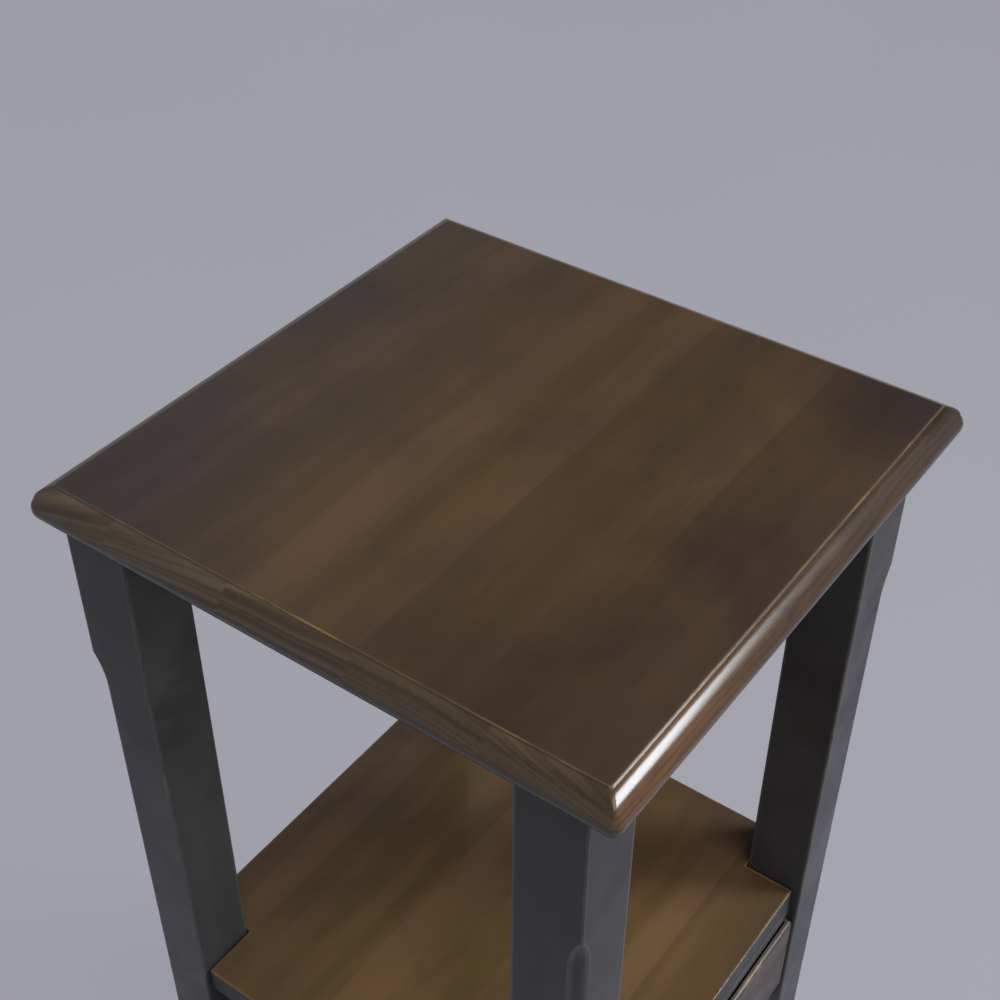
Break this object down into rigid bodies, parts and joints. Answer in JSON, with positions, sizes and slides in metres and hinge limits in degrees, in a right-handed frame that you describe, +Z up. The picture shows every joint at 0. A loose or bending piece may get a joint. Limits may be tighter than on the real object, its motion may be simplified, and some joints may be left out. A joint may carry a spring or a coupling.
{
  "type": "photo album stand",
  "caption": "Square wooden stand with a moulded stained top on painted legs, an open bay for albums, and a shelf over a shallow drawer.",
  "frame": {"origin": "on the floor, under the centre of the top board", "axes": "+Z up, -Y towards the front (the drawer), +X to the right seen from the front"},
  "size_m": [0.328, 0.3342, 0.711],
  "materials": {
    "walnut_stain": "walnut stain under semi-gloss varnish, rubbed through at the edges",
    "grey_paint": "charcoal grey satin paint on wood, rubbed through at the arrises",
    "drawer_brown": "dark brown satin",
    "raw_wood": "planed, unfinished",
    "plywood": "thin plywood, unfinished",
    "zinc_steel": "zinc plated",
    "nickel": "nickel plated, dulled"
  },
  "bodies": {
    "frame": {"case_back": "grey_paint", "case_dowels": "raw_wood", "case_side_left": "grey_paint", "case_side_right": "grey_paint", "drawer_guide_left": "raw_wood", "drawer_guide_right": "raw_wood", "drawer_kicker_left": "raw_wood", "drawer_kicker_right": "raw_wood", "drawer_runner_left": "raw_wood", "drawer_runner_right": "raw_wood", "drawer_stop_left": "raw_wood", "drawer_stop_right": "raw_wood", "foot_glide_back_left": "nickel", "foot_glide_back_right": "nickel", "foot_glide_front_left": "nickel", "foot_glide_front_right": "nickel", "front_bottom_rail": "grey_paint", "front_rail_dowels": "raw_wood", "front_top_rail": "grey_paint", "leg_back_left": "grey_paint", "leg_back_right": "grey_paint", "leg_front_left": "grey_paint", "leg_front_right": "grey_paint", "runner_screws": "zinc_steel", "shelf_board": "walnut_stain", "shelf_screws": "zinc_steel", "top_board": "walnut_stain", "top_rail_back": "grey_paint", "top_rail_dowels": "raw_wood", "top_rail_front": "grey_paint", "top_rail_left": "grey_paint", "top_rail_right": "grey_paint", "top_screws": "zinc_steel"},
    "drawer": {"drawer_back": "raw_wood", "drawer_bottom": "plywood", "drawer_front": "drawer_brown", "drawer_knob": "drawer_brown", "drawer_pins": "zinc_steel", "drawer_side_left": "raw_wood", "drawer_side_right": "raw_wood", "knob_screw": "zinc_steel"}
  },
  "joints": [
    {"name": "drawer_slide", "type": "slide", "parent": "frame", "child": "drawer", "axis": [0, -1, 0], "range_m": [0, 0.19]}
  ]
}
